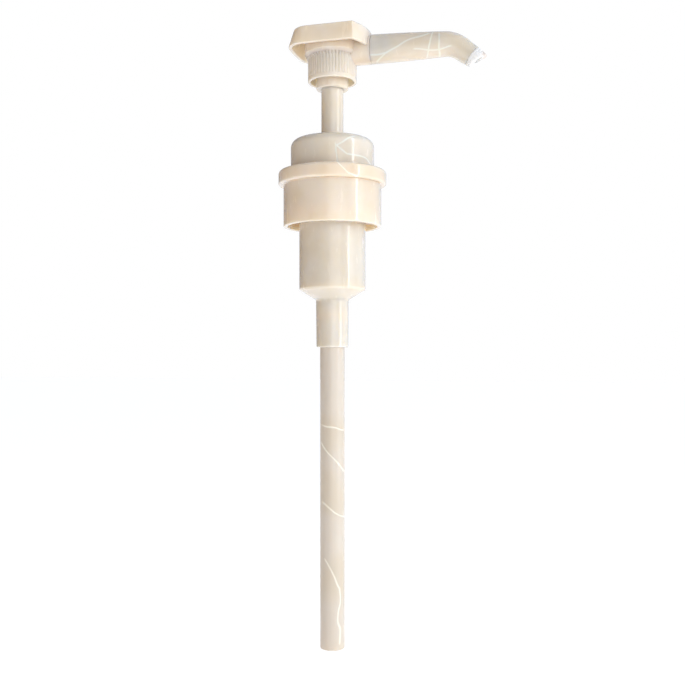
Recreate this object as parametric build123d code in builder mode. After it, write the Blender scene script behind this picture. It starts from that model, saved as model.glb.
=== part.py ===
"""Condiment pump for a 38 mm jug neck, in millimetres.

The origin is the centre of the sealing face, where the jug's lip meets the gasket.
+Z runs up the stem and +X points along the spout.
"""

import os
from math import cos, pi, radians, sin

from build123d import *

# Fits
RUNNING_GAP = 0.07  # radial, for pieces that slide or turn in each other
LOOSE_GAP = 0.3  # between pieces that pass without touching
FACE_GAP = 0.05  # between flat faces that turn on each other
EDGE_R = 0.35
RIM_TOLERANCE = 0.01

# Heights from the sealing face
MOUTH_Z = -14.0  # open rim of the closure
GASKET_TOP_Z = 1.4
FLANGE_TOP_Z = 3.6
DECK_TOP_Z = 6.2
BEAD_BOTTOM_Z = 3.8
BEAD_TOP_Z = 9.9
DOME_TOP_Z = 23.5
SLEEVE_BOTTOM_Z = 45.2
BOSS_BOTTOM_Z = 48.2
HEAD_RIM_Z = 61.6
HEAD_TOP_Z = 69.0
BARREL_BOTTOM_Z = -40.9
CONE_BOTTOM_Z = -45.3
SOCKET_BOTTOM_Z = -65.7
TUBE_BOTTOM_Z = -195.0

# Closure, with the 38-400 thread's six turns to the inch
SKIRT_R = 21.05
THREAD_ROOT_R = 18.95
THREAD_CREST_R = 17.8
THREAD_PITCH = 25.4 / 6
THREAD_TURNS = 1.5
THREAD_START_Z = -11.0
THREAD_ROOT_HALF = 1.25
THREAD_CREST_HALF = 0.45
THREAD_SINK = 0.3  # how far the ridge runs into the wall
MOUTH_RELIEF_R = 19.25
MOUTH_RELIEF_DEPTH = 1.2
BEAD_R = 23.2
BEAD_WALL = 2.2
BEAD_UNDER_R = 0.9
BEAD_OVER_R = 1.5

# Pump cylinder
BARREL_R = 14.25
BARREL_EDGE_R = 1.2
GASKET_SEAT_R = 14.0
GASKET_BORE_R = 14.35
GASKET_R = 17.6
BORE_R = 12.5
FLANGE_R = 17.4
COLLAR_R = 14.5
SNAP_RING_R = 15.9
SNAP_RING_Z = (9.0, 10.6)
COLLAR_TOP_Z = 21.8
LEDGE_R = 11.8
LEDGE_Z = -39.0
CONE_INNER_TOP_Z = -40.3
SOCKET_OUTER_TOP_R = 7.05
SOCKET_OUTER_END_R = 6.85
CHAMBER_R = 5.6
VENT_R = 0.5
VENT_Z = -1.0

# Dip tube
TUBE_R = 5.3
TUBE_BORE_R = 4.3
TUBE_TOP_Z = -53.7

# Valves
INLET_BALL_R = 9.525 / 2
INLET_THROAT_R = 3.0
INLET_THROAT_TOP_Z = -52.2
INLET_LIFT = 2.5
OUTLET_BALL_R = 2.75
OUTLET_THROAT_R = 1.7
OUTLET_THROAT_TOP_Z = -0.3
OUTLET_LIFT = 2.0
SEAT_GAP = 0.02

# Dome, guide and wiper
DOME_R = 17.9
DOME_BOTTOM_Z = 6.5
DOME_EDGE_R = 3.6
COLLAR_GAP = 0.1
SNAP_GAP = 0.2
LEAD_IN_WIDTH = 1.0
LEAD_IN_HEIGHT = 1.2
GUIDE_R = 6.5
GUIDE_FLANGE_R = 9.0
GUIDE_FLANGE_THICKNESS = 1.5
GUIDE_BOTTOM_Z = 10.05
GUIDE_TOP_Z = 23.3
WIPER_R = 5.9
WIPER_BOTTOM_Z = 22.0
WIPER_LIP = 0.6

# Stem and piston
STEM_R = 4.75
STEM_BORE_R = 3.25
STEM_BOTTOM_Z = 0.9
STEM_TOP_Z = 58.5
HEAD_CHANNEL_R = 2.9
FOOT_R = 6.0
FOOT_Z = (-0.95, 3.95)
HUB_R = 7.4
HUB_Z = (-1.0, 10.0)
WEB_R = 11.6
WEB_Z = (4.0, 6.0)
CUP_ROOT_R = 10.7
CUP_KNEE_R = 11.35
CUP_KNEE_DROP = 0.8
CUP_SKIRT_R = 12.1
CUP_SKIRT_BOTTOM_Z = 0.6
CUP_LIP_R = 12.45
CUP_LIP_BORE_R = 11.6
CUP_LIP_HEIGHT = 0.6
CUP_LIP_Z = -1.9
CUP_BASE_Z = 2.4
SEAL_GAP = 0.05
SEAL_SECTION_R = 0.8
SEAL_Z = 7.0
RETAINER_BOTTOM_Z = -3.2
RETAINER_R = 8.4
SPRING_FLANGE_R = 10.4
SPRING_TOP_Z = 0.9

# Spring and its seat
WIRE_R = 0.65
SPRING_R = 9.45
SPRING_TURNS = 8.5
SEAT_TOP_Z = -37.6
SEAT_R = 12.4
SEAT_BORE_R = 7.6
SPOKES = 3
SPOKE_WIDTH = 1.8
SPOKE_OVERLAP = 0.4
INLET_STOP_R = 3.0

# Stop above the upper ball
STOP_RING_WIDTH = 0.6
STOP_BAR_WIDTH = 0.9
STOP_THICKNESS = 1.5

# Head
HEAD_HALF_WIDTH = 15.0
HEAD_THUMB_X = -17.55
HEAD_SPOUT_X = 17.2
SPOUT_END_BOW = 4.2
THUMB_END_BOW = 1.3
HEAD_WALL = 1.5
HEAD_CEILING_Z = 67.0
HEAD_DRAFT = 0.35
THUMB_LEAN = 2.2
THUMB_CORNER_R = 8.0
HEAD_EDGE_R = 0.7
DISH_DEPTH = 0.6
DISH_R = 120.0
HEAD_COLLAR_R = 11.9
HEAD_COLLAR_BOTTOM_Z = 57.8
HEAD_COLLAR_SLOPE = (2.4, 1.3)  # height and width of the cone below the collar
BOSS_R = 10.5
BOSS_BORE_R = 9.3
FLUTES = 48
FLUTE_R = 0.45
FLUTE_DEPTH = 0.26
FLUTE_BOTTOM_Z = 49.9
FLUTE_TOP_Z = 59.4
SLEEVE_R = 6.9
HEAD_WEBS = 4
HEAD_WEB_THICKNESS = 1.2
HEAD_WEB_OVERLAP = 0.8
HEAD_WEB_BOTTOM_Z = 53.0
NECK_END_X = 17.45

# Spout
SPOUT_Z = 61.05
SPOUT_START_X = 17.6
SEAM_BEVEL = 0.2
SPIGOT_R = 4.3
SPIGOT_BORE_R = 3.3
SPIGOT_END_X = 26.0
BEND_X = 52.3
BEND_Z = 60.4
BEND_R = 12.0
HOOK_ANGLE = 38.0
HOOK_LENGTH = 10.0
ROOT_HALF_HEIGHT = 6.15
ROOT_HALF_WIDTH = 5.3
MIDDLE_SHARE = 0.5  # how far along the spout the middle section stands
MIDDLE_HALF_HEIGHT = 5.55
MIDDLE_HALF_WIDTH = 5.0
END_R = 4.25
SPOUT_BORE_R = 3.8
SPOUT_BORE_END_R = 2.7
OVALITY = 0.01  # keeps a nearly round section an ellipse, as the sweep between ovals needs
TIP_PLUG_R = 2.9
TIP_PLUG_LENGTH = 5.0

# Nozzle tip
TIP_BORE_R = 1.9
TIP_LENGTH = 3.6
TIP_BASE_R = 3.85
TIP_TAPER = 2.0
TIP_RINGS = 3
TIP_RING_START = 0.3
TIP_RING_PITCH = 1.1
TIP_RING_WIDTH = 0.8
TIP_RING_HEIGHT = 0.25
TIP_RING_STEP = 0.06
TIP_CUT_LENGTH = 3.1
TIP_CUT_ANGLE = 20.0
TIP_OVERRUN = 1.5

pieces = []


def section(*points):
    """A closed outline of (radius, height) points in the plane through the axis."""
    with BuildSketch(Plane.XZ) as outline:
        with BuildLine():
            Polyline(*points, close=True)
        make_face()
    return outline.sketch


def rim(piece, radius, height):
    """The circular edge of a turned piece at a radius and a height."""
    circles = piece.edges().filter_by(GeomType.CIRCLE)
    at_height = circles.filter_by(lambda edge: abs(edge.arc_center.Z - height) < RIM_TOLERANCE)
    return at_height.filter_by(lambda edge: abs(edge.radius - radius) < RIM_TOLERANCE)


def finish(piece, name):
    """Label a piece and keep it for export."""
    piece.part.label = name
    pieces.append(piece.part)


# --- Closure -------------------------------------------------------------------------------

deck_inner_r = COLLAR_R + LOOSE_GAP
hollow_r = BEAD_R - BEAD_WALL

with BuildPart() as screw_closure:
    revolve(
        section(
            (MOUTH_RELIEF_R, MOUTH_Z),
            (SKIRT_R, MOUTH_Z),
            (SKIRT_R, BEAD_BOTTOM_Z),
            (BEAD_R, BEAD_BOTTOM_Z),
            (BEAD_R, BEAD_TOP_Z),
            (hollow_r, BEAD_TOP_Z),
            (hollow_r, DECK_TOP_Z),
            (deck_inner_r, DECK_TOP_Z),
            (deck_inner_r, FLANGE_TOP_Z + FACE_GAP),
            (THREAD_ROOT_R, FLANGE_TOP_Z + FACE_GAP),
            (THREAD_ROOT_R, MOUTH_Z + MOUTH_RELIEF_DEPTH),
            (MOUTH_RELIEF_R, MOUTH_Z + MOUTH_RELIEF_DEPTH),
        ),
        Axis.Z,
    )
    fillet(rim(screw_closure, BEAD_R, BEAD_TOP_Z), BEAD_OVER_R)
    fillet(rim(screw_closure, BEAD_R, BEAD_BOTTOM_Z), BEAD_UNDER_R)
    fillet(rim(screw_closure, hollow_r, BEAD_TOP_Z), EDGE_R)
    fillet(rim(screw_closure, SKIRT_R, MOUTH_Z), EDGE_R)
    fillet(rim(screw_closure, MOUTH_RELIEF_R, MOUTH_Z), EDGE_R)
    with BuildSketch(Plane.XZ) as ridge:
        with BuildLine():
            Polyline(
                (THREAD_ROOT_R + THREAD_SINK, THREAD_START_Z - THREAD_ROOT_HALF),
                (THREAD_ROOT_R + THREAD_SINK, THREAD_START_Z + THREAD_ROOT_HALF),
                (THREAD_CREST_R, THREAD_START_Z + THREAD_CREST_HALF),
                (THREAD_CREST_R, THREAD_START_Z - THREAD_CREST_HALF),
                close=True,
            )
        make_face()
    helix = Helix(
        pitch=THREAD_PITCH,
        height=THREAD_PITCH * THREAD_TURNS,
        radius=THREAD_ROOT_R,
        center=(0, 0, THREAD_START_Z),
        mode=Mode.PRIVATE,
    )
    sweep(ridge.sketch, path=helix, is_frenet=True)
finish(screw_closure, "screw_closure")

# --- Pump cylinder ---------------------------------------------------------------------------

cone_drop = (LEDGE_R - CHAMBER_R) * (BARREL_BOTTOM_Z - CONE_BOTTOM_Z) / (BARREL_R - SOCKET_OUTER_TOP_R)
seat_rise = CHAMBER_R - INLET_THROAT_R

with BuildPart() as pump_cylinder:
    revolve(
        section(
            (BORE_R, COLLAR_TOP_Z),
            (COLLAR_R, COLLAR_TOP_Z),
            (COLLAR_R, SNAP_RING_Z[1]),
            (SNAP_RING_R, SNAP_RING_Z[1]),
            (SNAP_RING_R, SNAP_RING_Z[0]),
            (COLLAR_R, SNAP_RING_Z[0]),
            (COLLAR_R, FLANGE_TOP_Z),
            (FLANGE_R, FLANGE_TOP_Z),
            (FLANGE_R, GASKET_TOP_Z),
            (GASKET_SEAT_R, GASKET_TOP_Z),
            (GASKET_SEAT_R, -FACE_GAP),
            (BARREL_R, -FACE_GAP),
            (BARREL_R, BARREL_BOTTOM_Z),
            (SOCKET_OUTER_TOP_R, CONE_BOTTOM_Z),
            (SOCKET_OUTER_END_R, SOCKET_BOTTOM_Z),
            (TUBE_R, SOCKET_BOTTOM_Z),
            (TUBE_R, TUBE_TOP_Z),
            (INLET_THROAT_R, TUBE_TOP_Z),
            (INLET_THROAT_R, INLET_THROAT_TOP_Z),
            (CHAMBER_R, INLET_THROAT_TOP_Z + seat_rise),
            (CHAMBER_R, CONE_INNER_TOP_Z - cone_drop),
            (LEDGE_R, CONE_INNER_TOP_Z),
            (LEDGE_R, LEDGE_Z),
            (BORE_R, LEDGE_Z),
        ),
        Axis.Z,
    )
    fillet(rim(pump_cylinder, BARREL_R, BARREL_BOTTOM_Z), BARREL_EDGE_R)
    fillet(rim(pump_cylinder, SOCKET_OUTER_TOP_R, CONE_BOTTOM_Z), BARREL_EDGE_R)
    fillet(rim(pump_cylinder, SOCKET_OUTER_END_R, SOCKET_BOTTOM_Z), EDGE_R)
    with BuildSketch(Plane.YZ):
        with Locations((0, VENT_Z)):
            Circle(VENT_R)
    extrude(amount=FLANGE_R, mode=Mode.SUBTRACT)
finish(pump_cylinder, "pump_cylinder")

with BuildPart() as neck_gasket:
    revolve(
        section(
            (GASKET_BORE_R, 0),
            (GASKET_R, 0),
            (GASKET_R, GASKET_TOP_Z),
            (GASKET_BORE_R, GASKET_TOP_Z),
        ),
        Axis.Z,
    )
finish(neck_gasket, "neck_gasket")

with BuildPart() as dip_tube:
    with BuildSketch(Plane.XY.offset(TUBE_BOTTOM_Z)):
        Circle(TUBE_R)
        Circle(TUBE_BORE_R, mode=Mode.SUBTRACT)
    extrude(amount=TUBE_TOP_Z - TUBE_BOTTOM_Z)
    fillet(rim(dip_tube, TUBE_R, TUBE_BOTTOM_Z), EDGE_R)
finish(dip_tube, "dip_tube")

# --- Dome, guide and wiper ---------------------------------------------------------------------

with BuildPart() as retainer_dome:
    revolve(
        section(
            (SNAP_RING_R + SNAP_GAP, SNAP_RING_Z[0] - FACE_GAP),
            (COLLAR_R + COLLAR_GAP, SNAP_RING_Z[0] - FACE_GAP),
            (COLLAR_R + COLLAR_GAP, DOME_BOTTOM_Z + LEAD_IN_HEIGHT),
            (COLLAR_R + LEAD_IN_WIDTH, DOME_BOTTOM_Z),
            (DOME_R, DOME_BOTTOM_Z),
            (DOME_R, DOME_TOP_Z),
            (GUIDE_R, DOME_TOP_Z),
            (GUIDE_R, COLLAR_TOP_Z),
            (SNAP_RING_R + SNAP_GAP, COLLAR_TOP_Z),
        ),
        Axis.Z,
    )
    fillet(rim(retainer_dome, DOME_R, DOME_TOP_Z), DOME_EDGE_R)
finish(retainer_dome, "retainer_dome")

with BuildPart() as stem_guide:
    revolve(
        section(
            (STEM_R + RUNNING_GAP, GUIDE_BOTTOM_Z),
            (GUIDE_R, GUIDE_BOTTOM_Z),
            (GUIDE_R, COLLAR_TOP_Z - GUIDE_FLANGE_THICKNESS),
            (GUIDE_FLANGE_R, COLLAR_TOP_Z - GUIDE_FLANGE_THICKNESS),
            (GUIDE_FLANGE_R, COLLAR_TOP_Z),
            (GUIDE_R, COLLAR_TOP_Z),
            (GUIDE_R, GUIDE_TOP_Z),
            (WIPER_R, GUIDE_TOP_Z),
            (WIPER_R, WIPER_BOTTOM_Z),
            (STEM_R + RUNNING_GAP, WIPER_BOTTOM_Z),
        ),
        Axis.Z,
    )
finish(stem_guide, "stem_guide")

with BuildPart() as stem_wiper:
    revolve(
        section(
            (STEM_R + RUNNING_GAP, WIPER_BOTTOM_Z + WIPER_LIP),
            (STEM_R + RUNNING_GAP, GUIDE_TOP_Z),
            (WIPER_R, GUIDE_TOP_Z),
            (WIPER_R, WIPER_BOTTOM_Z),
            (STEM_R + WIPER_LIP, WIPER_BOTTOM_Z),
        ),
        Axis.Z,
    )
finish(stem_wiper, "stem_wiper")

# --- Spring, its seat and the lower ball ----------------------------------------------------------

inlet_contact_r = INLET_BALL_R * cos(pi / 4)
inlet_contact_z = INLET_THROAT_TOP_Z + inlet_contact_r - INLET_THROAT_R
inlet_ball_z = inlet_contact_z + inlet_contact_r + SEAT_GAP * 2
inlet_stop_z = inlet_ball_z + INLET_BALL_R + INLET_LIFT + FACE_GAP
spoke_length = SEAT_BORE_R + SPOKE_OVERLAP
spring_height = SPRING_TOP_Z - SEAT_TOP_Z - 2 * (WIRE_R + FACE_GAP)

with BuildPart() as spring_seat:
    with BuildSketch(Plane.XY.offset(LEDGE_Z)):
        Circle(SEAT_R)
        Circle(SEAT_BORE_R, mode=Mode.SUBTRACT)
    extrude(amount=SEAT_TOP_Z - LEDGE_Z)
    with BuildSketch(Plane.XY.offset(LEDGE_Z)):
        with PolarLocations(spoke_length / 2, SPOKES):
            Rectangle(spoke_length, SPOKE_WIDTH)
    extrude(amount=SEAT_TOP_Z - LEDGE_Z)
    with BuildSketch(Plane.XY.offset(inlet_stop_z)):
        Circle(INLET_STOP_R)
    extrude(amount=SEAT_TOP_Z - inlet_stop_z)
finish(spring_seat, "spring_seat")

with BuildPart() as return_spring:
    wire_path = Helix(
        pitch=spring_height / SPRING_TURNS,
        height=spring_height,
        radius=SPRING_R,
        center=(0, 0, SEAT_TOP_Z + WIRE_R + FACE_GAP),
        mode=Mode.PRIVATE,
    )
    with BuildSketch(Plane(origin=wire_path @ 0, z_dir=wire_path % 0)) as wire:
        Circle(WIRE_R)
    sweep(wire.sketch, path=wire_path, is_frenet=True)
finish(return_spring, "return_spring")

with BuildPart() as inlet_ball:
    with Locations((0, 0, inlet_ball_z)):
        Sphere(INLET_BALL_R)
finish(inlet_ball, "inlet_ball")

# --- Piston --------------------------------------------------------------------------------------

foot_room_r = FOOT_R + RUNNING_GAP
groove_r = STEM_R + SEAL_GAP + 2 * SEAL_SECTION_R

with BuildPart() as piston_core:
    revolve(
        section(
            (foot_room_r, HUB_Z[0]),
            (HUB_R, HUB_Z[0]),
            (HUB_R, WEB_Z[0]),
            (WEB_R, WEB_Z[0]),
            (WEB_R, WEB_Z[1]),
            (HUB_R, WEB_Z[1]),
            (HUB_R, HUB_Z[1]),
            (STEM_R + RUNNING_GAP, HUB_Z[1]),
            (STEM_R + RUNNING_GAP, SEAL_Z + SEAL_SECTION_R),
            (groove_r, SEAL_Z + SEAL_SECTION_R),
            (groove_r, SEAL_Z - SEAL_SECTION_R),
            (STEM_R + RUNNING_GAP, SEAL_Z - SEAL_SECTION_R),
            (STEM_R + RUNNING_GAP, FOOT_Z[1] + FACE_GAP),
            (foot_room_r, FOOT_Z[1] + FACE_GAP),
        ),
        Axis.Z,
    )
finish(piston_core, "piston_core")

with BuildPart() as piston_cup:
    revolve(
        section(
            (HUB_R, CUP_BASE_Z),
            (CUP_ROOT_R, CUP_BASE_Z),
            (CUP_KNEE_R, CUP_BASE_Z - CUP_KNEE_DROP),
            (CUP_LIP_BORE_R, CUP_LIP_Z),
            (CUP_LIP_R, CUP_LIP_Z),
            (CUP_LIP_R, CUP_LIP_Z + CUP_LIP_HEIGHT),
            (CUP_SKIRT_R, CUP_SKIRT_BOTTOM_Z),
            (CUP_SKIRT_R, WEB_Z[0]),
            (HUB_R, WEB_Z[0]),
        ),
        Axis.Z,
    )
finish(piston_cup, "piston_cup")

with BuildPart() as piston_retainer:
    revolve(
        section(
            (STEM_BORE_R, RETAINER_BOTTOM_Z),
            (RETAINER_R, RETAINER_BOTTOM_Z),
            (RETAINER_R, SPRING_TOP_Z),
            (SPRING_FLANGE_R, SPRING_TOP_Z),
            (SPRING_FLANGE_R, CUP_BASE_Z),
            (HUB_R, CUP_BASE_Z),
            (HUB_R, HUB_Z[0]),
            (STEM_BORE_R, HUB_Z[0]),
        ),
        Axis.Z,
    )
finish(piston_retainer, "piston_retainer")

with BuildPart() as swivel_seal:
    with BuildSketch(Plane.XZ):
        with Locations((groove_r - SEAL_SECTION_R, SEAL_Z)):
            Circle(SEAL_SECTION_R)
    revolve(axis=Axis.Z)
finish(swivel_seal, "swivel_seal")

# --- Stem, its foot and the upper ball --------------------------------------------------------------

outlet_contact_r = OUTLET_BALL_R * cos(pi / 4)
outlet_ball_z = OUTLET_THROAT_TOP_Z + 2 * outlet_contact_r - OUTLET_THROAT_R + SEAT_GAP * 2
outlet_stop_z = outlet_ball_z + OUTLET_BALL_R + OUTLET_LIFT + FACE_GAP
outlet_seat_r = OUTLET_THROAT_R + STEM_BOTTOM_Z - OUTLET_THROAT_TOP_Z

with BuildPart() as stem:
    with BuildSketch(Plane.XY.offset(STEM_BOTTOM_Z)):
        Circle(STEM_R)
        Circle(STEM_BORE_R, mode=Mode.SUBTRACT)
    extrude(amount=STEM_TOP_Z - STEM_BOTTOM_Z)
finish(stem, "stem")

with BuildPart() as stem_foot:
    revolve(
        section(
            (OUTLET_THROAT_R, FOOT_Z[0]),
            (FOOT_R, FOOT_Z[0]),
            (FOOT_R, FOOT_Z[1]),
            (STEM_R, FOOT_Z[1]),
            (STEM_R, STEM_BOTTOM_Z),
            (outlet_seat_r, STEM_BOTTOM_Z),
            (OUTLET_THROAT_R, OUTLET_THROAT_TOP_Z),
        ),
        Axis.Z,
    )
finish(stem_foot, "stem_foot")

with BuildPart() as outlet_ball:
    with Locations((0, 0, outlet_ball_z)):
        Sphere(OUTLET_BALL_R)
finish(outlet_ball, "outlet_ball")

with BuildPart() as ball_stop:
    with BuildSketch(Plane.XY.offset(outlet_stop_z)):
        Circle(STEM_BORE_R)
        Circle(STEM_BORE_R - STOP_RING_WIDTH, mode=Mode.SUBTRACT)
        Rectangle(2 * STEM_BORE_R - STOP_RING_WIDTH, STOP_BAR_WIDTH)
        Rectangle(STOP_BAR_WIDTH, 2 * STEM_BORE_R - STOP_RING_WIDTH)
    extrude(amount=STOP_THICKNESS)
finish(ball_stop, "ball_stop")

# --- Spout and nozzle tip -----------------------------------------------------------------------------

hook = radians(HOOK_ANGLE)
root_point = Vector(SPOUT_START_X, 0, SPOUT_Z)
bend_point = Vector(BEND_X, 0, BEND_Z)
hook_way = Vector(cos(hook), 0, -sin(hook))

with BuildLine() as centreline:
    FilletPolyline(root_point, bend_point, bend_point + hook_way * HOOK_LENGTH, radius=BEND_R)
spout_path = centreline.wire()


def across(position):
    """The plane across the spout at a share of its length, with its first axis sideways."""
    return Plane(origin=spout_path @ position, x_dir=(0, 1, 0), z_dir=spout_path % position)


def oval(position, half_width, half_height):
    """An oval across the spout."""
    with BuildSketch(across(position)) as outline:
        Ellipse(half_width, half_height)
    return outline.sketch


with BuildPart() as spout:
    sweep(
        [
            oval(0, ROOT_HALF_WIDTH, ROOT_HALF_HEIGHT),
            oval(MIDDLE_SHARE, MIDDLE_HALF_WIDTH, MIDDLE_HALF_HEIGHT),
            oval(1, END_R, END_R - OVALITY),
        ],
        path=spout_path,
        multisection=True,
    )
    chamfer(spout.faces().sort_by(Axis.X)[0].edges(), SEAM_BEVEL)
    sweep(
        [
            oval(0, SPOUT_BORE_R, SPOUT_BORE_R - OVALITY),
            oval(1, SPOUT_BORE_END_R, SPOUT_BORE_END_R - OVALITY),
        ],
        path=spout_path,
        multisection=True,
        mode=Mode.SUBTRACT,
    )
    with BuildSketch(across(1)):
        Circle(TIP_PLUG_R)
    extrude(amount=-TIP_PLUG_LENGTH, mode=Mode.SUBTRACT)
    with BuildSketch(Plane.YZ.offset(SPIGOT_END_X)):
        with Locations((0, SPOUT_Z)):
            Circle(SPIGOT_R)
    extrude(amount=-SPIGOT_END_X, mode=Mode.SUBTRACT)
finish(spout, "spout")

with BuildPart() as nozzle_tip:
    with BuildSketch(across(1)):
        Circle(TIP_PLUG_R)
    extrude(amount=-TIP_PLUG_LENGTH)
    with BuildSketch(across(1)):
        Circle(TIP_BASE_R)
    extrude(amount=TIP_LENGTH + TIP_OVERRUN, taper=TIP_TAPER)
    for ring in range(TIP_RINGS):
        with BuildSketch(across(1).offset(TIP_RING_START + ring * TIP_RING_PITCH)):
            Circle(TIP_BASE_R + TIP_RING_HEIGHT - ring * TIP_RING_STEP)
        extrude(amount=TIP_RING_WIDTH)
    with BuildSketch(across(1).offset(-TIP_PLUG_LENGTH)):
        Circle(TIP_BORE_R)
    extrude(amount=TIP_PLUG_LENGTH + TIP_LENGTH + TIP_OVERRUN, mode=Mode.SUBTRACT)
    end_plane = across(1).offset(TIP_CUT_LENGTH).rotated((0, TIP_CUT_ANGLE, 0))
    split(bisect_by=end_plane, keep=Keep.BOTTOM)
finish(nozzle_tip, "nozzle_tip")

# --- Head -----------------------------------------------------------------------------------------------


def head_plan(height, inset, lean):
    """The head's outline at a height: a bowed spout end, flat sides and a rounded thumb end."""
    half = HEAD_HALF_WIDTH - inset
    spout_x = HEAD_SPOUT_X - inset
    thumb_x = HEAD_THUMB_X + inset + lean
    spout_corner = spout_x - SPOUT_END_BOW
    thumb_corner = thumb_x + THUMB_END_BOW
    with BuildSketch(Plane.XY.offset(height)) as plan:
        with BuildLine():
            Line((thumb_corner, -half), (spout_corner, -half))
            ThreePointArc((spout_corner, -half), (spout_x, 0), (spout_corner, half))
            Line((spout_corner, half), (thumb_corner, half))
            ThreePointArc((thumb_corner, half), (thumb_x, 0), (thumb_corner, -half))
        make_face()
        fillet(plan.vertices().group_by(Axis.X)[0], THUMB_CORNER_R - inset)
    return plan.sketch


ceiling_share = (HEAD_CEILING_Z - HEAD_RIM_Z) / (HEAD_TOP_Z - HEAD_RIM_Z)

with BuildPart() as pump_head:
    loft([head_plan(HEAD_RIM_Z, 0, 0), head_plan(HEAD_TOP_Z, HEAD_DRAFT, THUMB_LEAN)], ruled=True)
    fillet(pump_head.faces().sort_by(Axis.Z)[-1].edges(), HEAD_EDGE_R)
    loft(
        [
            head_plan(HEAD_RIM_Z, HEAD_WALL, 0),
            head_plan(HEAD_CEILING_Z, HEAD_WALL + HEAD_DRAFT * ceiling_share, THUMB_LEAN * ceiling_share),
        ],
        ruled=True,
        mode=Mode.SUBTRACT,
    )
    fillet(pump_head.edges().group_by(Axis.Z)[0], EDGE_R)
    with Locations((0, 0, HEAD_TOP_Z + DISH_R - DISH_DEPTH)):
        Sphere(DISH_R, mode=Mode.SUBTRACT)
    with BuildSketch(Plane.XY.offset(HEAD_COLLAR_BOTTOM_Z)):
        Circle(HEAD_COLLAR_R)
    extrude(amount=HEAD_CEILING_Z - HEAD_COLLAR_BOTTOM_Z)
    chamfer(rim(pump_head, HEAD_COLLAR_R, HEAD_COLLAR_BOTTOM_Z), *HEAD_COLLAR_SLOPE)
    with BuildSketch(Plane.XY.offset(BOSS_BOTTOM_Z)):
        Circle(BOSS_R)
    extrude(amount=HEAD_CEILING_Z - BOSS_BOTTOM_Z)
    with BuildSketch(Plane.XY.offset(FLUTE_BOTTOM_Z)):
        with PolarLocations(BOSS_R + FLUTE_R - FLUTE_DEPTH, FLUTES):
            Circle(FLUTE_R)
    extrude(amount=FLUTE_TOP_Z - FLUTE_BOTTOM_Z, mode=Mode.SUBTRACT)
    with BuildSketch(Plane.YZ):
        with Locations((0, SPOUT_Z)):
            Ellipse(ROOT_HALF_WIDTH, ROOT_HALF_HEIGHT)
    extrude(amount=NECK_END_X)
    chamfer(pump_head.faces().sort_by(Axis.X)[-1].edges(), SEAM_BEVEL)
    with BuildSketch(Plane.XY.offset(BOSS_BOTTOM_Z)):
        Circle(BOSS_BORE_R)
    extrude(amount=HEAD_CEILING_Z - BOSS_BOTTOM_Z, mode=Mode.SUBTRACT)
    with BuildSketch(Plane.XY.offset(HEAD_WEB_BOTTOM_Z)):
        with PolarLocations((SLEEVE_R + BOSS_BORE_R) / 2, HEAD_WEBS, start_angle=45):
            Rectangle(BOSS_BORE_R - SLEEVE_R + HEAD_WEB_OVERLAP, HEAD_WEB_THICKNESS)
    extrude(amount=HEAD_CEILING_Z - HEAD_WEB_BOTTOM_Z)
    with BuildSketch(Plane.XY.offset(SLEEVE_BOTTOM_Z)):
        Circle(SLEEVE_R)
    extrude(amount=HEAD_CEILING_Z - SLEEVE_BOTTOM_Z)
    with BuildSketch(Plane.YZ):
        with Locations((0, SPOUT_Z)):
            Circle(SPIGOT_R)
    extrude(amount=SPIGOT_END_X)
    with BuildSketch(Plane.YZ):
        with Locations((0, SPOUT_Z)):
            Circle(SPIGOT_BORE_R)
    extrude(amount=SPIGOT_END_X, mode=Mode.SUBTRACT)
    with BuildSketch(Plane.XY.offset(SLEEVE_BOTTOM_Z)):
        Circle(STEM_R)
    extrude(amount=STEM_TOP_Z - SLEEVE_BOTTOM_Z, mode=Mode.SUBTRACT)
    with BuildSketch(Plane.XY.offset(STEM_TOP_Z)):
        Circle(HEAD_CHANNEL_R)
    extrude(amount=SPOUT_Z - STEM_TOP_Z, mode=Mode.SUBTRACT)
    fillet(rim(pump_head, BOSS_R, BOSS_BOTTOM_Z), EDGE_R)
    fillet(rim(pump_head, BOSS_BORE_R, BOSS_BOTTOM_Z), EDGE_R)
    fillet(rim(pump_head, SLEEVE_R, SLEEVE_BOTTOM_Z), EDGE_R)
finish(pump_head, "pump_head")

os.makedirs("parts", exist_ok=True)
for piece in pieces:
    export_step(piece, f"parts/{piece.label}.step")
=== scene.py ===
"""Looks of a condiment pump for a 38 mm jug neck: its plastics, its coil spring and its studio.

Everything is in metres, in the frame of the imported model. The origin is the centre of the sealing
face, +Z runs up the stem and +X points along the spout.
"""

from math import cos, pi, radians, sin

import bmesh
import bpy
from bpy.props import FloatProperty, FloatVectorProperty, IntProperty, PointerProperty
from mathutils import Matrix, Vector


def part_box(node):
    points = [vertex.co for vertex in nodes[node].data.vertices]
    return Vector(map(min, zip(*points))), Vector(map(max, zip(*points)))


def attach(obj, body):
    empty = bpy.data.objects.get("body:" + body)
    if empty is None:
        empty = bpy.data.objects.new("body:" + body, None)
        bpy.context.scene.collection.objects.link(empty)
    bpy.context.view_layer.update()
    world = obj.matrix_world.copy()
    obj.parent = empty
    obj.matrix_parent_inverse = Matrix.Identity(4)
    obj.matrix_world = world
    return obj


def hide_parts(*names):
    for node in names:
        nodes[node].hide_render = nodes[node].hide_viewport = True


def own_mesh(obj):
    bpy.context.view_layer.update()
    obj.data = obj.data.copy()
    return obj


bl_info = {
    "name": "Condiment pump",
    "version": (1, 0, 0),
    "blender": (4, 5, 0),
    "location": "View3D > Sidebar > Pump",
    "description": "Dresses the packed condiment pump and sets up its studio",
    "category": "Object",
}

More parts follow.
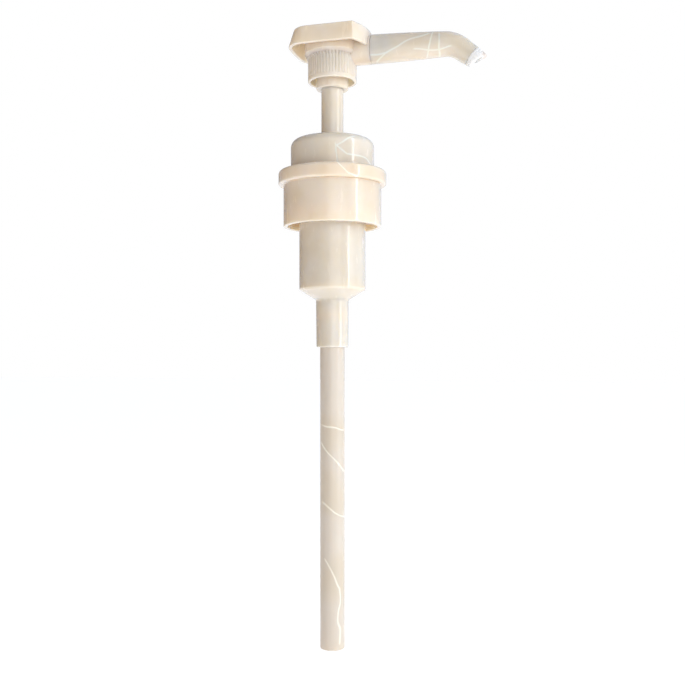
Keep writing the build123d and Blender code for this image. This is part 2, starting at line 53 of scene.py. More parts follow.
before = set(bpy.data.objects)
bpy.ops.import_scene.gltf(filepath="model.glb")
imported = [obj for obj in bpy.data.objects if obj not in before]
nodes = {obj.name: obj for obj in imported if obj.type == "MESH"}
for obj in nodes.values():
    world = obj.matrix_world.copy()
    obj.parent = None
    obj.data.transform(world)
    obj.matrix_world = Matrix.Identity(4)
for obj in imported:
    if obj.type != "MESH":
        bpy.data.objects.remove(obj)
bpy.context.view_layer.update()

MM = 0.001
# Sines of the bearings between which the room goes from its left light to its right light
ROOM_TURN = (-0.85, 0.35)
FLOOR_SIZE = 8.0  # centre to edge
WELD = 1e-7  # points of a mesh that are closer than this are one point

# Painted highlights of the wrinkles in the wrapping film: how far their colour shows, how high
# they stand, how far one runs past its ends, and how far it wanders from a straight line, over
# what distance
GLINT_SHARE = 0.95
GLINT_HEIGHT = 0.06 * MM
GLINT_FADE = 1.2 * MM
GLINT_WANDER = 1.6
GLINT_WANDER_SIZE = 9 * MM

# The way the painted film highlights face, and the ends of each in millimetres
GLINT_FACING = (0.2756, -0.9613, 0.0)
SPOUT_GLINTS = (
    ((20.5, -1.1, 55.5), (24.4, -3.9, 57.5)),
    ((24.4, -3.9, 57.5), (41.9, -1.9, 64.8)),
    ((18.0, -3.7, 57.1), (24.4, -3.9, 57.5)),
    ((44.3, -2.4, 64.4), (41.5, 0.4, 55.8)),
    ((47.3, -2.3, 64.4), (46.3, 0.2, 55.9)),
    ((37.0, -3.9, 58.1), (51.5, -3.7, 57.7)),
)
DOME_GLINTS = (
    ((6.5, -16.7, 18.0), (12.7, -12.5, 21.9)),
    ((6.5, -16.7, 18.0), (10.6, -14.4, 14.7)),
    ((10.6, -14.4, 14.7), (17.8, -1.4, 12.1)),
    ((6.5, -16.7, 18.0), (6.9, -16.6, 11.3)),
)
SHOULDER_GLINTS = (
    ((8.2, -21.7, 9.5), (12.1, -19.8, 4.9)),
    ((12.1, -19.8, 4.9), (15.4, -16.9, 4.0)),
)
TUBE_GLINTS = (
    ((-2.9, -4.4, -99.2), (5.1, -1.2, -100.4)),
    ((-2.9, -4.4, -106.4), (4.9, -2.0, -119.0)),
    ((-2.9, -4.4, -132.5), (5.1, -1.2, -138.9)),
    ((-2.3, -4.8, -156.7), (3.9, -3.6, -168.6)),
    ((3.9, -3.6, -168.6), (4.3, -3.1, -175.0)),
    ((4.3, -3.1, -175.0), (3.5, -3.9, -191.6)),
)


def linear(code):
    """An sRGB hex colour as linear red, green and blue."""
    channels = [int(code[i : i + 2], 16) / 255 for i in (0, 2, 4)]
    return [c / 12.92 if c <= 0.04045 else ((c + 0.055) / 1.055) ** 2.4 for c in channels]


def rgba(colour):
    """A colour with full opacity, as node sockets take it."""
    return (*colour, 1.0)


# --- Sizes and colours a user would change ---------------------------------------------------


def length(name, description, millimetres):
    return FloatProperty(
        name=name,
        description=description,
        default=millimetres * MM,
        min=0.0,
        precision=5,
        subtype="DISTANCE",
        unit="LENGTH",
    )


def colour(name, description, code):
    return FloatVectorProperty(
        name=name, description=description, default=linear(code), min=0.0, max=1.0, subtype="COLOR"
    )


class PumpSizes(bpy.types.PropertyGroup):
    """Sizes of the coil spring and of what the surfaces show"""

    coil_turns: FloatProperty(name="Coil turns", description="Turns of the spring", default=8.5)
    coil_sides: IntProperty(name="Wire sides", description="Faces round the wire", default=14)
    coil_steps: IntProperty(name="Steps a turn", description="Sections in one turn", default=56)
    wire: length("Wire", "Diameter of the spring's wire", 1.3)
    coil_margin: length("Coil margin", "Room kept above and below the spring", 0.02)
    ripple: length("Ripple", "Distance between the shallow waves in a moulded wall", 7.0)
    mottle: length("Mottle", "Size of the cloudy patches inside the plastic", 16.0)
    parting: length("Parting line", "Width of the witness line between mould halves", 0.16)
    # Half width of a painted highlight along a wrinkle in the wrapping film
    glint_and_bloom: length("Crease", "Half width of a pale crease mark", 0.5)
    # Painted shade: darker streaks along the dip tube, standing in for the wrapping film
    streak: length("Streak", "Distance between the lines along an extruded tube", 1.1)


class PumpColours(bpy.types.PropertyGroup):
    """Colours of the plastics, the seals and the steel"""

    ivory: colour("Ivory", "Polypropylene where the wall is thin", "EFDCC9")
    cream: colour("Cream", "Polypropylene where the wall is thick", "E9D4BC")
    tube: colour("Tube", "Polyethylene of the dip tube", "DDD1C1")
    tube_warm: colour("Tube, warm", "Warmer patches of the dip tube", "DACCB7")
    tip: colour("Tip", "White polyethylene of the nozzle tip and the piston cup", "F4F4F2")
    # A ragged tan that deepens towards the nozzle's mouth
    tip_tan: colour("Tip stain", "Dried product at the nozzle's far end", "CDB8A6")
    # Pale colour of the painted highlights along the wrapping film's wrinkles; also the rubber's bloom
    glint_and_bloom: colour("Crease", "Pale stressed plastic along a crease", "FFF6E4")
    acetal: colour("Acetal", "Natural acetal of the guide and the piston", "EBE7DC")
    rubber: colour("Rubber", "Cream nitrile of the seals", "CFC8BA")
    steel: colour("Steel", "Drawn stainless wire and polished balls", "C9C8C6")
    floor: colour("Floor", "Studio floor", "F6F5F3")


class PumpStudio(bpy.types.PropertyGroup):
    """Where the camera, the lights and the floor are"""

    turn: FloatProperty(
        name="Turn",
        description="Camera turned round the pump from its side",
        default=radians(16),
        subtype="ANGLE",
    )
    distance: length("Distance", "From the stem's axis to the camera", 388.0)
    eye_height: FloatProperty(
        name="Eye height",
        description="Camera above the sealing face",
        default=-68.1 * MM,
        unit="LENGTH",
    )
    lens: FloatProperty(
        name="Lens", description="Focal length for a 36 mm sensor, in millimetres", default=47.3
    )
    shift_x: FloatProperty(name="Shift sideways", description="Lens shift right", default=0.0147)
    shift_y: FloatProperty(name="Shift up", description="Lens shift upwards", default=0.0153)
    floor_drop: length("Floor drop", "From the sealing face down to the floor", 330.0)
    floor_glow: FloatProperty(
        name="Floor glow", description="Light that the floor gives off", default=0.55
    )
    left_light: FloatVectorProperty(
        name="Left light",
        description="Room light from the left",
        default=(0.20, 0.12, 0.065),
        subtype="COLOR",
    )
    right_light: FloatVectorProperty(
        name="Right light",
        description="Room light from the right",
        default=(0.63, 0.70, 0.82),
        subtype="COLOR",
    )


# --- Node and mesh helpers ---------------------------------------------------------------------


def add_node(tree, kind, inputs=None, **settings):
    """Add a node with its settings and its links.

    An input takes a value, another node's output, or a node, whose first live output is linked.
    """
    node = tree.nodes.new(kind)
    for key, value in settings.items():
        setattr(node, key, value)
    for key, value in (inputs or {}).items():
        if isinstance(value, bpy.types.Node):
            value = next(output for output in value.outputs if output.enabled)
        if isinstance(value, bpy.types.NodeSocket):
            tree.links.new(value, node.inputs[key])
        else:
            node.inputs[key].default_value = value
    return node


def new_material(name):
    """An empty material, its node tree, and the object coordinates that its patterns follow."""
    material = bpy.data.materials.new(name)
    material.use_nodes = True
    tree = material.node_tree
    tree.nodes.clear()
    return material, tree, add_node(tree, "ShaderNodeTexCoord").outputs["Object"]


def dress(node, material):
    """Give a CAD node one material in every slot."""
    for slot in nodes[node].material_slots:
        slot.material = material


def pattern(
    tree, place, size, low, high, to_low=0.0, to_high=1.0, detail=2.0, stretch=(1.0, 1.0, 1.0)
):
    """Soft noise with features of that size in metres, brought from low..high to to_low..to_high."""
    scale = [part / size for part in stretch]
    scaled = add_node(tree, "ShaderNodeVectorMath", {0: place, 1: scale}, operation="MULTIPLY")
    waves = add_node(tree, "ShaderNodeTexNoise", {"Vector": scaled, "Scale": 1.0, "Detail": detail})
    return add_node(
        tree,
        "ShaderNodeMapRange",
        {"Value": waves, "From Min": low, "From Max": high, "To Min": to_low, "To Max": to_high},
        interpolation_type="SMOOTHSTEP",
    )


def film_glints(tree, place, glint_lines, half_width):
    """1 along each painted highlight of a wrinkle in the wrapping film, 0 away from them.

    A highlight lies where the plane through its ends, square to GLINT_FACING, cuts the wall.
    """
    strongest = None
    sway = GLINT_WANDER * half_width
    wander = pattern(tree, place, GLINT_WANDER_SIZE, 0.2, 0.8, -sway, sway, detail=0.0)
    for start, end in glint_lines:
        start, end = Vector(start) * MM, Vector(end) * MM
        across = (end - start).cross(Vector(GLINT_FACING)).normalized()
        reach = (end - start).length / 2
        middle = (start + end) / 2
        offset = add_node(tree, "ShaderNodeVectorMath", {0: place, 1: middle}, operation="SUBTRACT")
        away = add_node(tree, "ShaderNodeVectorMath", {0: offset, 1: across}, operation="DOT_PRODUCT")
        radius = add_node(tree, "ShaderNodeVectorMath", {0: offset}, operation="LENGTH")
        line = add_node(tree, "ShaderNodeMath", {0: away, 1: wander}, operation="ADD")
        line = add_node(tree, "ShaderNodeMath", {0: line}, operation="ABSOLUTE")
        line = add_node(
            tree,
            "ShaderNodeMapRange",
            {"Value": line, "From Min": 0.0, "From Max": half_width, "To Min": 1.0, "To Max": 0.0},
        )
        ends = add_node(
            tree,
            "ShaderNodeMapRange",
            {
                "Value": radius,
                "From Min": reach,
                "From Max": reach + GLINT_FADE,
                "To Min": 1.0,
                "To Max": 0.0,
            },
        )
        mark = add_node(tree, "ShaderNodeMath", {0: line, 1: ends}, operation="MULTIPLY")
        if strongest is not None:
            mark = add_node(tree, "ShaderNodeMath", {0: strongest, 1: mark}, operation="MAXIMUM")
        strongest = mark
    return strongest


def glint_and_bloom(context, tree, place, glint_lines, base, normal):
    """The base colour and the normal with painted highlights of the wrapping film's wrinkles added: a pale
    colour and a slight raised bump.
    """
    marks = film_glints(tree, place, glint_lines, context.scene.pump_sizes.glint_and_bloom)
    pale = rgba(context.scene.pump_colours.glint_and_bloom)
    # Painted highlight: pale colour along each wrinkle of the wrapping film
    share = add_node(tree, "ShaderNodeMath", {0: marks, 1: GLINT_SHARE}, operation="MULTIPLY")
    base = add_node(tree, "ShaderNodeMix", {0: share, 6: base, 7: pale}, data_type="RGBA")
    normal = add_node(
        tree, "ShaderNodeBump", {"Height": marks, "Distance": GLINT_HEIGHT, "Normal": normal}
    )
    return base, normal


# --- Materials -----------------------------------------------------------------------------------


def moulded_polypropylene(context, name, parting=None, glint_lines=(), wear=0.0):
    """Glossy ivory polypropylene, injection moulded in a polished tool.

    The eye gets a crisp highlight on a milky body that lets light into the wall, faint clouds in
    the colour, sink waves too shallow to see except in the highlight, hair-fine scuffs, and a thin
    witness line where the tool opened.
    """
    sizes, colours = context.scene.pump_sizes, context.scene.pump_colours
    material, tree, place = new_material(name)
    base = add_node(
        tree,
        "ShaderNodeMix",
        {
            0: pattern(tree, place, sizes.mottle, 0.35, 0.68, detail=3.0),
            6: rgba(colours.ivory),
            7: rgba(colours.cream),
        },
        data_type="RGBA",
    )
    waves = pattern(tree, place, sizes.ripple, 0.0, 1.0, detail=0.0)
    normal = add_node(tree, "ShaderNodeBump", {"Height": waves, "Distance": 0.02 * MM})
    scuffs = pattern(
        tree, place, 2.2 * MM, 0.62, 0.75, 0.0, 0.12 + wear, detail=5.0, stretch=(1.0, 1.0, 0.25)
    )
    rough = add_node(tree, "ShaderNodeMath", {0: scuffs, 1: 0.26}, operation="ADD")
    if parting is not None:
        apart = add_node(tree, "ShaderNodeVectorMath", {0: place, 1: parting}, operation="DOT_PRODUCT")
        apart = add_node(tree, "ShaderNodeMath", {0: apart}, operation="ABSOLUTE")
        seam = add_node(
            tree,
            "ShaderNodeMapRange",
            {"Value": apart, "From Min": 0.0, "From Max": sizes.parting, "To Min": 1.0, "To Max": 0.0},
        )
        normal = add_node(
            tree, "ShaderNodeBump", {"Height": seam, "Distance": 0.04 * MM, "Normal": normal}
        )
    # Painted highlights along the wrinkles of the wrapping film
    if glint_lines:
        base, normal = glint_and_bloom(context, tree, place, glint_lines, base, normal)
    shader = add_node(
        tree,
        "ShaderNodeBsdfPrincipled",
        {
            "Base Color": base,
            "Roughness": rough,
            "IOR": 1.49,
            "Subsurface Weight": 1.0,
            "Subsurface Radius": (1.0, 0.88, 0.66),
            "Subsurface Scale": 5.0 * MM,
            "Coat Weight": 0.8,
            "Coat Roughness": 0.05,
            "Coat IOR": 1.49,
            "Normal": normal,
            "Coat Normal": normal,
        },
    )
    add_node(tree, "ShaderNodeOutputMaterial", {"Surface": shader})
    return material


def extruded_polyethylene(context, name, glint_lines):
    """Natural polyethylene tube, extruded and cut to length.

    The eye gets a waxy, greyish white wall with warmer patches, fine darker lines along its whole
    length that are painted shade standing in for streaks in the wrapping film, and soft rather than crisp
    highlights.
    """
    sizes, colours = context.scene.pump_sizes, context.scene.pump_colours
    material, tree, place = new_material(name)
    base = add_node(
        tree,
        "ShaderNodeMix",
        {
            0: pattern(tree, place, 30 * MM, 0.42, 0.58, detail=2.0),
            6: rgba(colours.tube),
            7: rgba(colours.tube_warm),
        },
        data_type="RGBA",
    )
    # Painted shade: darker streaks along the tube, standing in for the wrapping film
    lines = pattern(tree, place, sizes.streak, 0.25, 0.75, detail=3.0, stretch=(1.0, 1.0, 0.015))
    shade = add_node(tree, "ShaderNodeMath", {0: lines, 1: 0.16}, operation="MULTIPLY")
    base = add_node(
        tree, "ShaderNodeMix", {0: shade, 6: base, 7: rgba(colours.rubber)}, data_type="RGBA"
    )
    normal = add_node(tree, "ShaderNodeBump", {"Height": lines, "Distance": 0.015 * MM})
    # Painted highlights along the wrinkles of the wrapping film
    base, normal = glint_and_bloom(context, tree, place, glint_lines, base, normal)
    rough = add_node(tree, "ShaderNodeMath", {0: shade, 1: 0.28}, operation="ADD")
    shader = add_node(
        tree,
        "ShaderNodeBsdfPrincipled",
        {
            "Base Color": base,
            "Roughness": rough,
            "IOR": 1.51,
            "Subsurface Weight": 0.6,
            "Subsurface Radius": (1.0, 0.85, 0.7),
            "Subsurface Scale": 2.0 * MM,
            "Coat Weight": 0.4,
            "Coat Roughness": 0.12,
            "Normal": normal,
        },
    )
    add_node(tree, "ShaderNodeOutputMaterial", {"Surface": shader})
    return material


def soft_polyethylene(context, name, tan_from=None, tan_to=None):
    """Soft white polyethylene, moulded.

    The eye gets a waxy white that glows at thin edges. A ragged tan deepens from tan_from to
    tan_to, given in metres.
    """
    colours = context.scene.pump_colours
    material, tree, place = new_material(name)
    base = add_node(
        tree,
        "ShaderNodeMix",
        {
            0: pattern(tree, place, 3 * MM, 0.3, 0.7, 0.0, 0.2, detail=3.0),
            6: rgba(colours.tip),
            7: rgba(colours.acetal),
        },
        data_type="RGBA",
    )
    # A ragged tan that deepens towards the mouth
    if tan_from:
        way = Vector(tan_to) - Vector(tan_from)
        offset = add_node(tree, "ShaderNodeVectorMath", {0: place, 1: tan_from}, operation="SUBTRACT")
        along = add_node(
            tree, "ShaderNodeVectorMath", {0: offset, 1: way / way.length_squared}, operation="DOT_PRODUCT"
        )
        ragged = pattern(tree, place, 1.5 * MM, 0.2, 0.8, -0.5, 0.5, detail=3.0)
        edge = add_node(tree, "ShaderNodeMath", {0: along, 1: ragged}, operation="ADD")
        share = add_node(
            tree,
            "ShaderNodeMapRange",
            {"Value": edge, "From Min": 0.1, "From Max": 1.0, "To Min": 0.0, "To Max": 0.75},
        )
        base = add_node(
            tree, "ShaderNodeMix", {0: share, 6: base, 7: rgba(colours.tip_tan)}, data_type="RGBA"
        )
    grain = pattern(tree, place, 0.4 * MM, 0.0, 1.0)
    shader = add_node(
        tree,
        "ShaderNodeBsdfPrincipled",
        {
            "Base Color": base,
            "Roughness": pattern(tree, place, 1.2 * MM, 0.3, 0.7, 0.26, 0.38),
            "IOR": 1.51,
            "Subsurface Weight": 0.6,
            "Subsurface Radius": (1.0, 0.95, 0.9),
            "Subsurface Scale": 1.5 * MM,
            "Normal": add_node(tree, "ShaderNodeBump", {"Height": grain, "Distance": 0.004 * MM}),
        },
    )
    add_node(tree, "ShaderNodeOutputMaterial", {"Surface": shader})
    return material


def moulded_acetal(context, name):
    """Natural acetal, moulded: dense, cool white and satin, with fine lines from sliding along Z."""
    colours = context.scene.pump_colours
    material, tree, place = new_material(name)
    base = add_node(
        tree,
        "ShaderNodeMix",
        {
            0: pattern(tree, place, 6 * MM, 0.3, 0.7, 0.0, 0.3, detail=3.0),
            6: rgba(colours.acetal),
            7: rgba(colours.cream),
        },
        data_type="RGBA",
    )
    rubs = pattern(tree, place, 0.5 * MM, 0.3, 0.7, 0.3, 0.45, stretch=(1.0, 1.0, 0.04))
    shader = add_node(
        tree,
        "ShaderNodeBsdfPrincipled",
        {
            "Base Color": base,
            "Roughness": rubs,
            "IOR": 1.48,
            "Subsurface Weight": 0.15,
            "Subsurface Scale": 1.0 * MM,
            "Normal": add_node(tree, "ShaderNodeBump", {"Height": rubs, "Distance": 0.03 * MM}),
        },
    )
    add_node(tree, "ShaderNodeOutputMaterial", {"Surface": shader})
    return material


def moulded_nitrile(context, name):
    """Cream food-grade nitrile rubber, moulded: matt, slightly chalky, with a dusting of bloom."""
    colours = context.scene.pump_colours
    material, tree, place = new_material(name)
    bloom = pattern(tree, place, 1.6 * MM, 0.45, 0.75, 0.0, 0.35, detail=4.0)
    grain = pattern(tree, place, 0.25 * MM, 0.0, 1.0)
    shader = add_node(
        tree,
        "ShaderNodeBsdfPrincipled",
        {
            "Base Color": add_node(
                tree,
                "ShaderNodeMix",
                {0: bloom, 6: rgba(colours.rubber), 7: rgba(colours.glint_and_bloom)},
                data_type="RGBA",
            ),
            "Roughness": add_node(tree, "ShaderNodeMath", {0: bloom, 1: 0.55}, operation="ADD"),
            "IOR": 1.52,
            "Sheen Weight": 0.15,
            "Normal": add_node(tree, "ShaderNodeBump", {"Height": grain, "Distance": 0.008 * MM}),
        },
    )
    add_node(tree, "ShaderNodeOutputMaterial", {"Surface": shader})
    return material


def stainless_steel(context, name, rough, lines_along):
    """Stainless steel: drawn wire carries fine lines, a ground and polished ball almost none."""
    colours = context.scene.pump_colours
    material, tree, place = new_material(name)
    lines = pattern(tree, place, 0.3 * MM, 0.3, 0.7, detail=3.0, stretch=lines_along)
    shade = add_node(tree, "ShaderNodeMath", {0: lines, 1: 0.12}, operation="MULTIPLY")
    shader = add_node(
        tree,
        "ShaderNodeBsdfPrincipled",
        {
            "Base Color": add_node(
                tree,
                "ShaderNodeMix",
                {0: shade, 6: rgba(colours.steel), 7: rgba(colours.rubber)},
                data_type="RGBA",
            ),
            "Metallic": 1.0,
            "Roughness": add_node(tree, "ShaderNodeMath", {0: shade, 1: rough}, operation="ADD"),
            "Normal": add_node(tree, "ShaderNodeBump", {"Height": lines, "Distance": 0.003 * MM}),
        },
    )
    add_node(tree, "ShaderNodeOutputMaterial", {"Surface": shader})
    return material


# --- Pieces ----------------------------------------------------------------------------------------


class PUMP_OT_screw_closure(bpy.types.Operator):
    """Dress the screw closure in polished polypropylene"""

    bl_idname = "pump.screw_closure"
    bl_label = "Screw closure"

    def execute(self, context):
        material = moulded_polypropylene(
            context, "closure_moulded_polypropylene", glint_lines=SHOULDER_GLINTS
        )
        dress("screw_closure", material)
        return {"FINISHED"}


class PUMP_OT_retainer_dome(bpy.types.Operator):
    """Dress the dome that holds the stem's guide"""

    bl_idname = "pump.retainer_dome"
    bl_label = "Retainer dome"

    def execute(self, context):
        material = moulded_polypropylene(context, "dome_moulded_polypropylene", glint_lines=DOME_GLINTS)
        dress("retainer_dome", material)
        return {"FINISHED"}


class PUMP_OT_pump_cylinder(bpy.types.Operator):
    """Dress the pump cylinder, whose tool opens along the spout's plane"""

    bl_idname = "pump.pump_cylinder"
    bl_label = "Pump cylinder"

    def execute(self, context):
        material = moulded_polypropylene(
            context, "cylinder_moulded_polypropylene", parting=(0.0, 1.0, 0.0)
        )
        dress("pump_cylinder", material)
        return {"FINISHED"}


class PUMP_OT_dip_tube(bpy.types.Operator):
    """Dress the extruded dip tube"""

    bl_idname = "pump.dip_tube"
    bl_label = "Dip tube"

    def execute(self, context):
        material = extruded_polyethylene(context, "tube_extruded_polyethylene", glint_lines=TUBE_GLINTS)
        dress("dip_tube", material)
        return {"FINISHED"}


class PUMP_OT_stem(bpy.types.Operator):
    """Dress the hollow stem"""

    bl_idname = "pump.stem"
    bl_label = "Stem"

    def execute(self, context):
        dress("stem", moulded_polypropylene(context, "stem_moulded_polypropylene", wear=0.06))
        return {"FINISHED"}


class PUMP_OT_pump_head(bpy.types.Operator):
    """Dress the push-down head, a little worn where the palm presses"""

    bl_idname = "pump.pump_head"
    bl_label = "Pump head"

    def execute(self, context):
        dress("pump_head", moulded_polypropylene(context, "head_moulded_polypropylene", wear=0.05))
        return {"FINISHED"}


class PUMP_OT_spout(bpy.types.Operator):
    """Dress the hooked spout, with its witness line along the top and bottom"""

    bl_idname = "pump.spout"
    bl_label = "Spout"

    def execute(self, context):
        material = moulded_polypropylene(
            context, "spout_moulded_polypropylene", parting=(0.0, 1.0, 0.0), glint_lines=SPOUT_GLINTS
        )
        dress("spout", material)
        return {"FINISHED"}


class PUMP_OT_nozzle_tip(bpy.types.Operator):
    """Dress the white nozzle tip, turning tan towards its mouth"""

    bl_idname = "pump.nozzle_tip"
    bl_label = "Nozzle tip"

    def execute(self, context):
        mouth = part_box("nozzle_tip")[1].x
        material = soft_polyethylene(
            context,
            "tip_moulded_polyethylene",
            tan_from=Vector((mouth - 2.6 * MM, 0, 0)),
            tan_to=Vector((mouth, 0, 0)),
        )
        dress("nozzle_tip", material)
        return {"FINISHED"}


class PUMP_OT_acetal_parts(bpy.types.Operator):
    """Dress the guide, the piston's hard parts, the foot, the ball stop and the spring's seat"""

    bl_idname = "pump.acetal_parts"
    bl_label = "Guide and piston"

    def execute(self, context):
        material = moulded_acetal(context, "moulded_acetal")
        guided = ("stem_guide", "piston_core", "piston_retainer")
        for node in (*guided, "stem_foot", "ball_stop", "spring_seat"):
            dress(node, material)
        return {"FINISHED"}


class PUMP_OT_seals(bpy.types.Operator):
    """Dress the gasket, the wiper, the O-ring and the piston's soft cup"""

    bl_idname = "pump.seals"
    bl_label = "Seals"

    def execute(self, context):
        rubber = moulded_nitrile(context, "moulded_nitrile")
        for node in ("neck_gasket", "stem_wiper", "swivel_seal"):
            dress(node, rubber)
        dress("piston_cup", soft_polyethylene(context, "cup_moulded_polyethylene"))
        return {"FINISHED"}


class PUMP_OT_return_spring(bpy.types.Operator):
    """Wind the return spring at the length of its CAD node, though the real one shortens with the stroke
    """

    bl_idname = "pump.return_spring"
    bl_label = "Return spring"

    def execute(self, context):
        sizes = context.scene.pump_sizes
        low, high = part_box("return_spring")
        wire = sizes.wire / 2
        coil = high.x - wire
        inset = wire + sizes.coil_margin
        bottom, top = low.z + inset, high.z - inset
        steps = round(sizes.coil_turns * sizes.coil_steps)
        wound = bmesh.new()
        ring = bmesh.ops.create_circle(
            wound, cap_ends=True, radius=wire, segments=sizes.coil_sides
        )["verts"]
        upright = Matrix.Translation((coil, 0.0, bottom)) @ Matrix.Rotation(radians(90), 4, "X")
        bmesh.ops.transform(wound, matrix=upright, verts=ring)
        bmesh.ops.spin(
            wound,
            geom=wound.faces[:],
            cent=(0.0, 0.0, 0.0),
            axis=(0.0, 0.0, 1.0),
            dvec=(0.0, 0.0, (top - bottom) / steps),
            angle=2 * pi * sizes.coil_turns,
            steps=steps,
        )
        bmesh.ops.remove_doubles(wound, verts=wound.verts[:], dist=WELD)
        bmesh.ops.recalc_face_normals(wound, faces=wound.faces[:])
        mesh = bpy.data.meshes.new("wound_spring")
        wound.to_mesh(mesh)
        wound.free()
        mesh.shade_smooth()
        spring = bpy.data.objects.new("wound_spring", mesh)
        context.scene.collection.objects.link(spring)
        mesh.materials.append(stainless_steel(context, "drawn_stainless_wire", 0.22, (1.0, 1.0, 0.4)))
        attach(spring, "pump_body")
        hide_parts("return_spring")
        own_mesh(spring)
        return {"FINISHED"}


class PUMP_OT_valve_balls(bpy.types.Operator):
    """Dress the two check balls in polished steel"""

    bl_idname = "pump.valve_balls"
    bl_label = "Valve balls"

    def execute(self, context):
        material = stainless_steel(context, "polished_stainless_ball", 0.06, (1.0, 1.0, 1.0))
        for node in ("inlet_ball", "outlet_ball"):
            dress(node, material)
        return {"FINISHED"}


# --- Studio ------------------------------------------------------------------------------------------


def softbox(context, name, bearing, height, distance, width, tall, radiance, tint):
    """A soft light facing the stem's axis, on a bearing from the camera's line, sizes in metres."""
    studio = context.scene.pump_studio
    way = studio.turn + bearing
    light = bpy.data.lights.new(name, "AREA")
    light.shape = "RECTANGLE"
    light.size, light.size_y = width, tall
    light.energy = radiance * pi * width * tall
    light.color = tint
    lamp = bpy.data.objects.new(name, light)
    lamp.location = (sin(way) * distance, -cos(way) * distance, height)
    lamp.rotation_euler = (radians(90), 0.0, way)
    context.scene.collection.objects.link(lamp)


class PUMP_OT_studio(bpy.types.Operator):
    """Set up the floor, the light and the camera"""

    bl_idname = "pump.studio"
    bl_label = "Studio"

    def execute(self, context):
        scene = context.scene
        studio, colours = scene.pump_studio, scene.pump_colours
        scene.view_settings.view_transform = "Standard"
        self.lay_floor(context, studio, colours)
        self.light_world(context, studio)
        softbox(
            context,
            "front_light",
            bearing=radians(10.0),
            height=0.1,
            distance=1.0,
            width=0.7,
            tall=0.9,
            radiance=1.05,
            tint=(1.0, 0.97, 0.94),
        )
        softbox(
            context,
            "strip_light",
            bearing=radians(57.6),
            height=0.12,
            distance=1.0,
            width=0.07,
            tall=1.3,
            radiance=9.0,
            tint=(1.0, 0.99, 0.98),
        )
        softbox(
            context,
            "glow_light",
            bearing=radians(68.0),
            height=0.12,
            distance=1.0,
            width=0.22,
            tall=1.3,
            radiance=1.2,
            tint=(1.0, 0.98, 1.0),
        )
        softbox(
            context,
            "side_light",
            bearing=radians(96.0),
            height=0.15,
            distance=1.2,
            width=1.2,
            tall=1.4,
            radiance=0.3,
            tint=(0.95, 0.98, 1.0),
        )
        camera = bpy.data.objects.new("camera", bpy.data.cameras.new("camera"))
        camera.data.lens = studio.lens
        camera.data.shift_x, camera.data.shift_y = studio.shift_x, studio.shift_y
        camera.data.clip_start = 0.01
        camera.location = (
            sin(studio.turn) * studio.distance,
            -cos(studio.turn) * studio.distance,
            studio.eye_height,
        )
        camera.rotation_euler = (radians(90), 0.0, studio.turn)
        scene.collection.objects.link(camera)
        scene.camera = camera
        return {"FINISHED"}

    def lay_floor(self, context, studio, colours):
        """A wide pale floor under the hanging pump, bright enough to meet the white behind it."""
        laid = bmesh.new()
        bmesh.ops.create_grid(laid, x_segments=1, y_segments=1, size=FLOOR_SIZE)
        bmesh.ops.translate(laid, vec=(0.0, 0.0, -studio.floor_drop), verts=laid.verts[:])
        mesh = bpy.data.meshes.new("floor")
        laid.to_mesh(mesh)
        laid.free()
        floor = bpy.data.objects.new("floor", mesh)
        context.scene.collection.objects.link(floor)
        material, tree, place = new_material("painted_floor")
        shader = add_node(
            tree,
            "ShaderNodeBsdfPrincipled",
            {
                "Base Color": rgba(colours.floor),
                "Roughness": pattern(tree, place, 0.2, 0.3, 0.7, 0.85, 0.95),
                "Emission Color": (1.0, 1.0, 1.0, 1.0),
                "Emission Strength": studio.floor_glow,
            },
        )
        add_node(tree, "ShaderNodeOutputMaterial", {"Surface": shader})
        mesh.materials.append(material)

    def light_world(self, context, studio):
        """Soft light all round, dim and warm on the left, bright and neutral on the right."""
        world = bpy.data.worlds.new("soft_room")
        context.scene.world = world
        world.use_nodes = True
        tree = world.node_tree
        tree.nodes.clear()
        way = add_node(tree, "ShaderNodeTexCoord").outputs["Generated"]
        right = (cos(studio.turn), sin(studio.turn), 0.0)
        side = add_node(tree, "ShaderNodeVectorMath", {0: way, 1: right}, operation="DOT_PRODUCT")
        share = add_node(
            tree,
            "ShaderNodeMapRange",
            {"Value": side, "From Min": ROOM_TURN[0], "From Max": ROOM_TURN[1]},
            interpolation_type="SMOOTHSTEP",
        )
        room = add_node(
            tree,
            "ShaderNodeMix",
            {0: share, 6: rgba(studio.left_light), 7: rgba(studio.right_light)},
            data_type="RGBA",
        )
        seen = add_node(tree, "ShaderNodeLightPath").outputs["Is Camera Ray"]
        white = (1.0, 1.0, 1.0, 1.0)
        shown = add_node(tree, "ShaderNodeMix", {0: seen, 6: room, 7: white}, data_type="RGBA")
        light = add_node(tree, "ShaderNodeBackground", {"Color": shown, "Strength": 1.0})
        add_node(tree, "ShaderNodeOutputWorld", {"Surface": light})


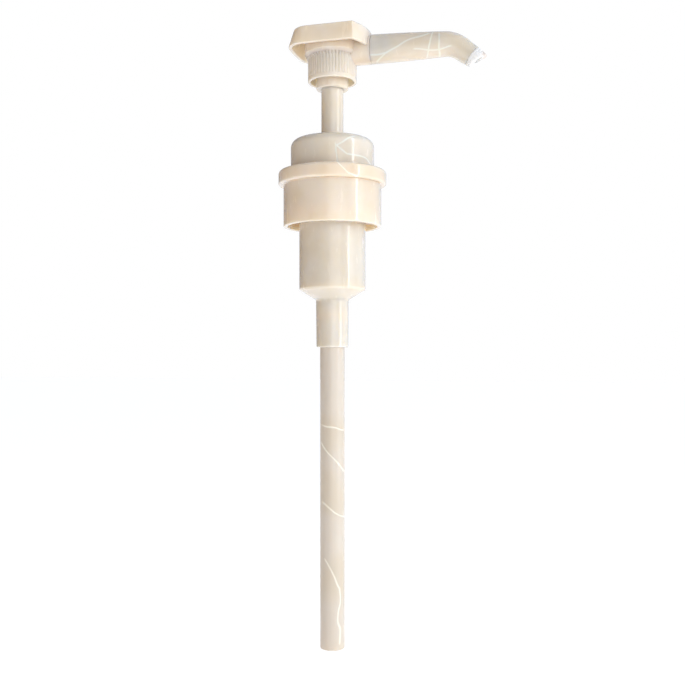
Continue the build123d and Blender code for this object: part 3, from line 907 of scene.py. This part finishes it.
class PUMP_PT_pump(bpy.types.Panel):
    """Lists the pump's pieces and what can be changed on them"""

    bl_idname = "PUMP_PT_pump"
    bl_label = "Condiment pump"
    bl_space_type = "VIEW_3D"
    bl_region_type = "UI"
    bl_category = "Pump"

    def draw(self, context):
        for operator in OPERATORS:
            self.layout.operator(operator.bl_idname)
        for group in (context.scene.pump_sizes, context.scene.pump_colours, context.scene.pump_studio):
            box = self.layout.box()
            for name in group.bl_rna.properties.keys():
                if name not in ("rna_type", "name"):
                    box.prop(group, name)


OPERATORS = (
    PUMP_OT_screw_closure,
    PUMP_OT_retainer_dome,
    PUMP_OT_pump_cylinder,
    PUMP_OT_dip_tube,
    PUMP_OT_stem,
    PUMP_OT_pump_head,
    PUMP_OT_spout,
    PUMP_OT_nozzle_tip,
    PUMP_OT_acetal_parts,
    PUMP_OT_seals,
    PUMP_OT_return_spring,
    PUMP_OT_valve_balls,
    PUMP_OT_studio,
)
GROUPS = (PumpSizes, PumpColours, PumpStudio)


def register():
    for cls in (*GROUPS, *OPERATORS, PUMP_PT_pump):
        bpy.utils.register_class(cls)
    bpy.types.Scene.pump_sizes = PointerProperty(type=PumpSizes)
    bpy.types.Scene.pump_colours = PointerProperty(type=PumpColours)
    bpy.types.Scene.pump_studio = PointerProperty(type=PumpStudio)


def unregister():
    del bpy.types.Scene.pump_studio
    del bpy.types.Scene.pump_colours
    del bpy.types.Scene.pump_sizes
    for cls in (PUMP_PT_pump, *reversed(OPERATORS), *reversed(GROUPS)):
        bpy.utils.unregister_class(cls)


def main():
    """Build every piece in order."""
    register()
    bpy.ops.pump.screw_closure()
    bpy.ops.pump.retainer_dome()
    bpy.ops.pump.pump_cylinder()
    bpy.ops.pump.dip_tube()
    bpy.ops.pump.stem()
    bpy.ops.pump.pump_head()
    bpy.ops.pump.spout()
    bpy.ops.pump.nozzle_tip()
    bpy.ops.pump.acetal_parts()
    bpy.ops.pump.seals()
    bpy.ops.pump.return_spring()
    bpy.ops.pump.valve_balls()
    bpy.ops.pump.studio()


if __name__ == "__main__":
    main()
